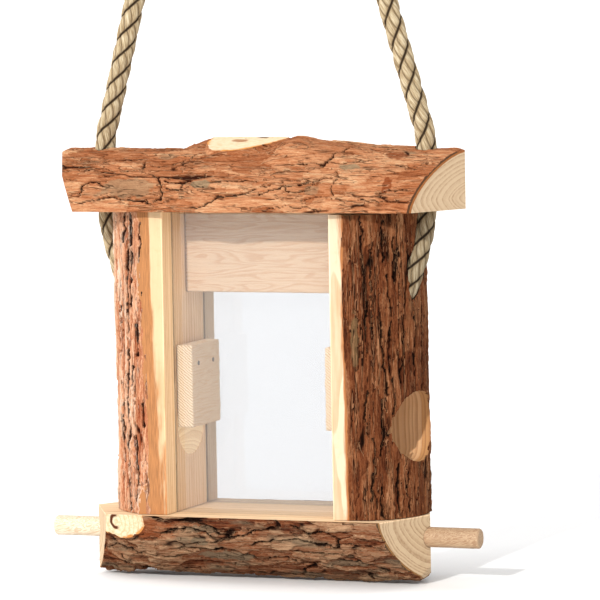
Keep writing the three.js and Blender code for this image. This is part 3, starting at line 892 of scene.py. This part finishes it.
base_style = dict(
    seed=8, size=46, flake=(30, 9), furrow_pitch=(46, 9), furrow_width=0.16, open=0.45, wander=3.6,
    furrow=1.5, crack=0.4, border=0.8, swell=0.8, step=2.2, ridge=1.0, slant=slant_at_left, crack_height=2.4,
    side=1, front=0.154,
    cracks=(
        (1.1, 1.0, -46, 3, -38, 2, -28, 5, -20, 11, -10, 15),
        (1.0, 1.0, -60, 13, -48, 8, -38, 8, -28, 12, -22, 18),
        (1.3, 1.0, -56, 27, -44, 25, -30, 26, -14, 27, -4, 32, 2, 40), (1.1, 1.0, -17, 17, -6, 13, 8, 8, 17, 6),
        (1.3, 1.0, -1, 21, 10, 16, 20, 15, 34, 12, 46, 18, 59, 20),
        (1.2, 1.0, 4, 37, 14, 32, 22, 33, 27, 39, 41, 37), (1.2, 1.0, 30, 4, 40, 8, 50, 8, 60, 13, 58, 20),
        (1.3, 1.0, 49, 32, 62, 34, 74, 39, 86, 48), (1.1, 1.0, -60, 44, -30, 42, -10, 44, 8, 48),
        (1.2, 1.0, -84, 31, -70, 34, -58, 36, -48, 33), (1.2, 1.0, -104, 30, -94, 24, -86, 27, -80, 34),
        (1.1, 1.0, -108, 42, -88, 46, -70, 50, -50, 48), (1.1, 1.0, 24, 24, 34, 26, 48, 25, 62, 27),
    ),
    stains=(
        (-35, 18, 6, 3.6, 1.0), (-72, 10, 26, 9, -0.45), (-30, 8, 14, 3, 0.7), (40, 17, 15, 4, 0.6),
        (-20, 33, 20, 5, 0.8), (60, 38, 18, 4, 0.7), (-2, 8, 16, 5, -0.35), (-98, 34, 9, 7, -0.4),
    ),
)
base_section = slab_section(49.0, 42.0, BASE_FLAT)
base = Log(
    "base_slab", (0, 0, BASE_FLAT), (1, 0, 0), (0, 0, -1), base_section, (-128, 112), BASE_FLAT, base_style
)
KNOT_X, KNOT_Z, KNOT_LONG, KNOT_TALL = -87.0, -3.0, 17.0, 12.5


def perch_bore(side, tip):
    path = [(tip + side * out, 0, PERCH_HEIGHT) for out in (-31, -15, 14)]
    return bore_cutter(path if side > 0 else path[::-1], PERCH_BORE)


turns = np.linspace(0, 2 * np.pi, 36, endpoint=False)
knot_outline = [(KNOT_X + KNOT_LONG * math.cos(a), KNOT_Z - KNOT_TALL * math.sin(a)) for a in turns]
base_cutters = [
    beyond((0, 0, 0), (0, 0, 1)),
    *facets(BASE_TIPS[0], -94.5, -94.5, 49.5),
    *facets(BASE_TIPS[1], 87.3, 87.3, 49.5),
    perch_bore(-1, BASE_TIPS[0]),
    perch_bore(1, BASE_TIPS[1]),
    beyond((BASE_TIPS[1], 0, -32), (8, 0, -4.5)),
    beyond((100.5, 0, -40), (4, 0, -5)),
    prism_cutter(
        [(x, -80.0, z) for x, z in knot_outline],
        [(x, -45.4 - 0.285 * z, z) for x, z in knot_outline],
    ),
]


def knot_material():
    """A sawn-off knot, pale, with a dark crescent at its heart and a tan rim."""
    s = Shader("knot_sawn")
    log = s.place()
    x, _, z = s.axes(log)
    ragged = s.noise(log, (0.2, 0.1, 0.3), 4.0) - 0.5

    def distance(cx, cz, long, tall):
        dx, dz = (x - cx) / long, (z - (BASE_FLAT - cz)) / tall
        return (dx * dx + dz * dz).math("SQRT") + ragged * 0.5

    far = distance(KNOT_X, KNOT_Z, KNOT_LONG, KNOT_TALL)
    heart = distance(-90.5, -4.5, 3.2, 4.2)
    fine = s.noise(log, (0.6, 0.3, 0.6), 4.0, 0.65)
    base = s.mix(s.remap(fine, 0.35, 0.75), (252, 232, 196), (226, 192, 146))
    base = s.mix(s.remap((heart * 7.0).math("SINE"), 0.3, 1.0, 0.0, 0.35), base, (206, 162, 112))
    crescent = s.remap(abs(heart - 1.0), 0.4, 0.15) * s.remap(x, -88.5, -90.5)
    base = s.mix(crescent, base, (92, 44, 20))
    base = s.mix(s.remap(far, 0.86, 0.98), base, (218, 150, 84))
    return s.finish(base, 0.75, fine, 0.4, 0.6, specular=0.15)


umber = [(94, 42, 23), (140, 82, 52), (166, 114, 82), (180, 138, 104), (220, 174, 134)]
base_bark = bark_material(
    "base_bark", umber, (26, 9, 4), (150, 130, 104), 8, FEW_CRACKS, 0.3, patches=0.08, knot=(176, 92, 48)
)
# The base's flat top is painted lighter, as painted light.
base_wood = cut_wood_material(
    "base_sawn", slab_share(49.0, 42.0, BASE_FLAT, 3.0), slab_share(49.0, 42.0, BASE_FLAT),
    45.0, 9, (226, 196, 158), (172, 134, 96), (176, 124, 70), 8, rim=2.2, outer=0.7,
    flat=BASE_FLAT, flat_painted_light=1.5,
)
base.finish(base_cutters, [base_bark, base_wood, knot_material()], "base_bark", "base_log", "feeder")

# ---- posts ----
POST_RADIUS, POST_FLAT = 44.4, -2.3
POST_CENTRE = INNER_HALF - POST_FLAT


def post_section(turn):
    return POST_RADIUS + 0.0 * turn


def post_cutters(side, top, front_y, front_slope):
    inner = side * INNER_HALF
    cutters = [
        beyond((inner, 0, 0), (-side, 0, 0)),
        beyond((0, 0, 0.3), (0, 0, -1)),
        beyond((0, 0, top), (0, 0, 1)),
        beyond((0, front_y, 0), (0, -1, front_slope)),
        beyond((0, 41.9, 0), (0, 1, 0)),
    ]
    for y in GROOVES:
        reach = sorted((inner - side * 5, inner + side * 4.8))
        cutters.append(box_cutter((reach[0], y, -5), (reach[1], y + GROOVE_WIDTH, top + 5)))
    port = [(inner + side * out, PORT_Y[side], PORT_HEIGHT) for out in (-8, 20, 70)]
    cutters.append(bore_cutter(port if side > 0 else port[::-1], PORT_RADIUS, 72))
    route = lower_route(side)[1:]
    route = [(route[0][0], route[0][1], route[0][2] + 10)] + route
    cutters.append(bore_cutter(smooth_path(route, 4)[0], ROPE_BORE))
    return cutters


def thin_bark(radius, quiet, full):
    """Bark thins out to this radius beside the sawn edges, and lies smooth there."""

    def ease(turn):
        from_edge = np.minimum(np.abs(turn), np.abs(np.pi - turn))
        share = smoothstep(quiet, full, from_edge)
        return share, (radius - POST_RADIUS) * (1 - share)

    return ease


post_style = dict(size=43, wander=1.8, crack=0.5, border=0.5, swell=0.6, front=0.0)
left_style = dict(
    **post_style, seed=21, flake=(60, 6), furrow_pitch=(120, 8), furrow_width=0.09, open=0.35,
    furrow=1.0, step=1.5, ridge=1.0, ease=thin_bark(43.3, 0.20, 0.34), side=-1,
    cracks=(
        (1.5, 1.0, 192, 28, 182, 28, 172, 30), (1.5, 1.0, 192, 22, 177, 21, 166, 21, 156, 21, 145, 23, 132, 23),
        (1.2, 1.0, 175, 25, 161, 26, 145, 27, 132, 26, 116, 26), (1.6, 1.0, 120, 18, 112, 17, 106, 18, 101, 19),
        (1.3, 1.0, 104, 26, 91, 26, 78, 28, 66, 27, 53, 26, 40, 28, 27, 29, 14, 28, 2, 27),
        (1.4, 1.0, 93, 22, 87, 23, 81, 23), (1.1, 1.0, 70, 14, 62, 13, 55, 14),
        (1.2, 1.0, 50, 21, 34, 20, 22, 18, 9, 20), (0.9, 1.0, 111, 10, 98, 10, 82, 11, 73, 10),
        (1.0, 1.0, 184, 14, 171, 13, 160, 15), (0.9, 1.0, 160, 12, 149, 11, 138, 12),
        (1.5, 1.0, 72, 33, 60, 35, 48, 34, 33, 35), (1.4, 1.0, 150, 34, 130, 36, 110, 35),
        (1.3, 1.0, 22, 38, 2, 36),
    ),
)
right_style = dict(
    **post_style, seed=33, flake=(52, 6.5), furrow_pitch=(100, 8), furrow_width=0.13, open=0.25,
    furrow=1.5, step=1.2, ridge=1.1, ease=thin_bark(42.45, 0.24, 0.50), side=1,
    cracks=(
        (0.8, 1.0, 190, 19, 161, 20, 138, 22, 119, 21), (0.8, 0.9, 187, 34, 175, 33, 161, 34),
        (1.1, 1.0, 176, 40, 166, 41, 150, 41), (0.9, 1.0, 130, 30, 110, 31, 97, 33, 78, 34),
        (1.1, 1.0, 140, 56, 117, 59, 89, 57), (1.0, 1.0, 135, 66, 97, 66, 60, 67),
        (0.9, 0.9, 62, 11, 52, 12, 42, 10), (0.8, 0.9, 80, 21, 66, 20, 52, 22),
        (1.1, 1.0, 75, 31, 56, 32, 41, 30), (1.2, 1.0, 34, 42, 18, 41, 2, 42),
        (0.9, 0.9, 21, 30, 12, 29, 2, 31), (0.9, 0.9, 32, 51, 16, 49, 4, 51),
        (0.8, 0.9, 88, 38, 74, 39, 62, 39),
        (0.7, 0.9, 133, 14, 122, 11, 104, 11, 92, 15, 104, 17, 122, 17, 133, 14),
        (0.7, 0.9, 174, 26, 150, 25, 130, 25, 113, 26), (0.9, 0.9, 36, 14, 22, 15, 10, 13),
        (0.7, 0.8, 130, 46, 106, 47, 84, 45), (0.6, 0.8, 180, 12, 160, 13, 144, 12),
        (0.8, 0.9, 152, 36, 131, 38, 110, 37), (0.8, 0.9, 50, 25, 32, 26, 13, 23),
    ),
    stains=((113, 14, 19, 3, 0.7),),
)
rose = [(160, 78, 46), (214, 142, 102), (240, 182, 144), (252, 208, 178), (255, 236, 216)]
left_bark = bark_material("left_post_bark", rose, (36, 8, 4), (200, 150, 122), 21, FEW_CRACKS, 0.12)
dusk = [(74, 32, 16), (112, 60, 34), (138, 80, 48), (162, 106, 70), (206, 150, 108)]
right_bark = bark_material("right_post_bark", dusk, (20, 6, 2), (136, 112, 76), 33, LONG_CRACKS, 0.4)
round_outline = round_share(POST_RADIUS, (0, 0))
# The posts' flat inner faces are painted lighter by default, as painted light.
left_wood = cut_wood_material(
    "left_post_sawn", round_share(POST_RADIUS, (2.0, 4.0)), round_outline, POST_RADIUS, 15,
    (244, 210, 166), (214, 164, 116), (206, 138, 82), 21, rim=2.4, outer=1.15, thicker=1.6, skin=0.9,
    # The left port's wall is painted pale, as painted light.
    flat=POST_FLAT, port=(-2.1, -1.6, (288, 266, 222), (270, 240, 192)),
)
right_wood = cut_wood_material(
    "right_post_sawn", round_share(POST_RADIUS, (-2.0, 3.0)), round_outline, POST_RADIUS, 15,
    (244, 216, 182), (212, 172, 130), (198, 124, 66), 33, rim=2.4, outer=2.0, thicker=2.4,
    # The right port's wall is painted tan, as painted shade.
    flat=POST_FLAT, port=(3.0, 9.0, (218, 160, 102), (184, 128, 78)),
)
for label, side, style, bark, wood, top, front_y, front_slope in (
    ("left", -1, left_style, left_bark, left_wood, 191.6, -42.3, 0.75 / 191),
    ("right", 1, right_style, right_bark, right_wood, 190.4, -41.68, -0.22 / 190),
):
    middle, upward, outward = (side * POST_CENTRE, 0, 0), (0, 0, 1), (side, 0, 0)
    post = Log(f"post_slab_{label}", middle, upward, outward, post_section, (-4, 196), POST_FLAT - 0.3, style)
    cutters = post_cutters(side, top, front_y, front_slope)
    post.finish(cutters, [bark, wood], f"post_{label}_bark", f"post_{label}", "feeder")


# ---- boards and dowels ----
def sawn_block(name, low, high, grain, seed, saw, edge):
    """A sawn block with slightly worn edges and shallow saw marks across its faces."""
    low, high = np.array(low, float), np.array(high, float)
    counts = np.maximum(2, ((high - low) / BOARD_STEP).astype(int))
    points, faces, index = [], [], {}

    def corner(key):
        if key not in index:
            index[key] = len(points)
            points.append(low + (high - low) * np.array(key) / counts)
        return index[key]

    for axis in range(3):
        a, b = (axis + 1) % 3, (axis + 2) % 3
        for end, i, j in itertools.product((0, counts[axis]), range(counts[a]), range(counts[b])):
            quad = []
            for u, v in ((i, j), (i + 1, j), (i + 1, j + 1), (i, j + 1)):
                key = [0, 0, 0]
                key[axis], key[a], key[b] = int(end), u, v
                quad.append(corner(tuple(key)))
            faces.append(quad if end else quad[::-1])
    points = np.array(points)
    centre, half = (low + high) / 2, (high - low) / 2
    own = (points - centre) / half
    at_face = np.abs(own) > 1 - 1e-6
    rounding = edge * (1 + 0.5 * smooth_noise(points / 7.0, seed))
    inner = np.clip(points - centre, -(half - rounding[:, None]), half - rounding[:, None])
    out = points - centre - inner
    length = np.linalg.norm(out, axis=1, keepdims=True)
    points = centre + inner + out / np.maximum(length, 1e-9) * np.minimum(length, rounding[:, None])
    wave = smooth_noise(points / 3.0, seed + 1) * 0.5 + smooth_noise(points / 1.4, seed + 2) * 0.5
    points = points + np.sign(own) * at_face * (wave * saw - saw)[:, None]
    obj = new_object(name, points, faces)
    shift = np.array([seed * 17.0, seed * 7.0, seed * 3.0])
    store(obj, "log", (points - centre)[:, [grain, (grain + 1) % 3, (grain + 2) % 3]] + shift)
    store(obj, "end", at_face[:, grain].astype(float))
    return obj


def complete(obj, look, node):
    obj.data.materials.append(look)
    place_in_frame(obj)
    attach(obj, "feeder")
    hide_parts(node)


def board_material(name, pale, line):
    """Softwood cut along its grain, with broad early and late bands and fine pores, and toothed ends."""
    s = Shader(name)
    log = s.place()
    late = stripes(s, s.noise(log, (0.012, 0.22, 0.10), 2.0, 0.5, 0.4) * 11.0, 0.30, 0.85, 0.9)
    fine = s.noise(log, (0.12, 2.4, 2.4), 3.0, 0.65)
    _, y, z = s.axes(log)
    slanting = y + z * 0.8 + s.noise(log, (0.4, 0.4, 0.4), 2.0) * 2.0
    teeth = s.remap((slanting * 3.4).math("SINE"), -0.2, 0.9)
    end = s.mix(teeth, pale, dim(line, 0.84))
    base = s.mix(s.attribute("end"), grained(s, late, 0.6, fine, pale, line), end)
    return s.finish(base, 0.75, fine + teeth * 0.5, 0.3, 0.6, specular=0.2)


tie_look = board_material("tie_board_pine", (232, 202, 170), (212, 168, 128))
# A lighter copy of the tie board's pine: painted light for the baffles in the shaded inside.
baffle_painted_light_look = board_material("baffle_pine_painted_light", (255, 230, 196), (240, 198, 152))
tie = sawn_block("tie_plank", (-55.7, -5.4, 138.5), (55.7, 5.6, 190.2), 0, 41, 0.12, 0.5)
complete(tie, tie_look, "tie_board")
for label, start, end, seed in (("left", -55.7, -44.6, 42), ("right", 44.6, 55.7, 43)):
    baffle = sawn_block(f"baffle_plank_{label}", (start, -23.7, 53.5), (end, 23.7, 106.5), 1, seed, 0.3, 0.8)
    complete(baffle, baffle_painted_light_look, f"baffle_{label}")


def dowel(name, side, root, tip, seed):
    """A birch dowel with a softened end, a little out of round."""
    inset = np.array([0, 0.12, 0.4, 0.9, 1.6])
    end = tip - side * np.array([1.5, 1.0, 0.5, 0.15, 0.0])
    lengths = np.concatenate([np.linspace(root, tip - side * 2.0, 60), end])
    sizes = np.concatenate([np.full(60, PERCH_RADIUS), PERCH_RADIUS - inset])
    angle = np.linspace(0, 2 * np.pi, 72, endpoint=False)
    turn, length = np.meshgrid(angle, lengths)
    place = np.stack([length / 12, np.cos(turn) * 3, np.sin(turn) * 3], axis=-1)
    radial = sizes[:, None] + 0.10 * smooth_noise(place, seed) + 0.04 * smooth_noise(place * 4, seed + 1)
    rings = np.stack([length, radial * np.cos(turn), PERCH_HEIGHT + radial * np.sin(turn)], axis=-1)
    points, faces = capped_tube(rings if side > 0 else rings[::-1])
    obj = new_object(name, points, faces)
    obj.data.polygons.foreach_set("use_smooth", [len(f) == 4 for f in faces])
    store(obj, "log", points - np.array([tip, 0, PERCH_HEIGHT]) + np.array([seed * 19.0, 0, 0]))
    return obj


def dowel_material(name, pale, line):
    """Birch, with its grain running a little out along the dowel."""
    s, tilt = Shader(name), math.radians(14)
    turned = s.node("ShaderNodeMapping", {"Vector": s.place(), "Rotation": (0.0, 0.0, tilt)})
    turned = s.node("ShaderNodeMapping", {"Vector": turned, "Rotation": (0.0, tilt, 0.0)})
    late = stripes(s, s.noise(turned, (0.02, 0.35, 0.35), 2.0, 0.5, 0.3) * 9.0, 0.2, 0.8, 0.88)
    fine = s.noise(turned, (0.15, 3.0, 3.0), 3.0, 0.65)
    return s.finish(grained(s, late, 0.7, fine, pale, line), 0.65, fine, 0.2, 0.5)


# The left dowel's paler copy of the birch is painted light, for the strong light falling on it from the left.
painted_light_dowel = dowel_material("dowel_birch_painted_light", (255, 240, 214), (208, 172, 132))
brown_dowel = dowel_material("dowel_birch", (210, 178, 142), (160, 116, 80))
complete(dowel("perch_dowel_left", -1, -91.8, -151.5, 51), painted_light_dowel, "perch_left")
complete(dowel("perch_dowel_right", 1, 75.0, 138.4, 52), brown_dowel, "perch_right")


# ---- panes and fasteners ----
def pane_material(name, tint):
    """Clear sheet: what is behind shows through, with the gloss of its outer faces and a faint haze."""
    s = Shader(name)
    through = s.node("ShaderNodeBsdfTransparent", {"Color": (*tint, 1)})
    gloss = s.node("ShaderNodeBsdfGlossy", {"Color": (1, 1, 1, 1), "Roughness": 0.03})
    haze = s.node("ShaderNodeBsdfDiffuse", {"Color": (0.9, 0.92, 0.95, 1)})
    dusty = s.noise(s.node("ShaderNodeTexCoord", output=3), (1, 1, 1), 3.0)
    outside = 1.0 - s.node("ShaderNodeNewGeometry", output=6)
    shine = (s.node("ShaderNodeFresnel", {"IOR": 1.5}) + 0.02) * outside
    veil = s.node("ShaderNodeMixShader", {0: s.remap(dusty, 0.3, 0.7, 0.01, 0.03), 1: through, 2: haze})
    s.link(s.node("ShaderNodeMixShader", {0: shine, 1: veil, 2: gloss}), s.output.inputs[0])
    s.tree.nodes.remove(s.shader)
    return s.material


def metal_material():
    s = Shader("weathered_steel")
    spots = s.noise(s.node("ShaderNodeTexCoord", output=3), (900.0, 900.0, 900.0), 3.0)
    base = s.mix(s.remap(spots, 0.35, 0.7), (150, 136, 120), (96, 82, 70))
    return s.finish(base, s.remap(spots, 0.3, 0.7, 0.45, 0.65), metallic=0.5)


steel = metal_material()
carried_over = {
    "front_pane": pane_material("clear_sheet", (0.97, 0.972, 0.978)),
    # The rear pane is tinted darker, as painted shade that dims the white seen through the feeder.
    "rear_pane": pane_material("clear_sheet_painted_shade", (0.805, 0.81, 0.82)),
}
for node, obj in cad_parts.items():
    if "_screw_" in node or "_nail_" in node or "_brad_" in node:
        carried_over[node] = steel
    if node in carried_over:
        obj.data.materials.clear()
        obj.data.materials.append(carried_over[node])

# ---- floor, light and surroundings ----
FLOOR_HEIGHT, FLOOR_HALF = -44.0, 60000.0


def make_floor():
    """A plain pale floor, wide enough to reach the horizon."""
    s = Shader("floor_white")
    tint = s.noise(s.node("ShaderNodeTexCoord", output=3), (3.0, 3.0, 3.0), 2.0)
    inputs = {0: tint, 6: (0.88, 0.88, 0.88, 1), 7: (0.89, 0.89, 0.89, 1)}
    pale = s.node("ShaderNodeMix", inputs, output=2, data_type="RGBA")
    x, z = FLOOR_HALF, FLOOR_HEIGHT
    corners = [(-x, -x, z), (x, -x, z), (x, x, z), (-x, x, z)]
    floor = new_object("floor", corners, [(0, 1, 2, 3)], smooth=False)
    floor.data.materials.append(s.finish(pale, 0.9, specular=0.0))
    place_in_frame(floor)


def sun(name, azimuth, elevation, strength, size, colour=(1, 1, 1)):
    """A far lamp, at so many degrees to the right of the front and up; size is how wide it looks."""
    data = bpy.data.lights.new(name, "SUN")
    data.energy, data.angle, data.color = strength, math.radians(size), colour
    a, e = math.radians(azimuth), math.radians(elevation)
    source = Vector((math.sin(a) * math.cos(e), -math.cos(a) * math.cos(e), math.sin(e)))
    light = bpy.data.objects.new(name, data)
    light.rotation_euler = source.to_track_quat("Z", "Y").to_euler()
    bpy.context.scene.collection.objects.link(light)


make_floor()
sun("key", -3, 25, 2.9, 2.0, (1.0, 0.985, 0.95))
sun("left_softbox", -75, 24, 2.4, 50)
sun("right_fill", 48, 18, 1.15, 60)
sun("top_softbox", 175, 60, 0.8, 60)
world = bpy.data.worlds.new("studio")
world.use_nodes = True
surround = world.node_tree.nodes["Background"]
surround.inputs[0].default_value = (1, 1, 1, 1)
surround.inputs[1].default_value = 0.5
bpy.context.scene.world = world
bpy.context.scene.view_settings.view_transform = "Standard"
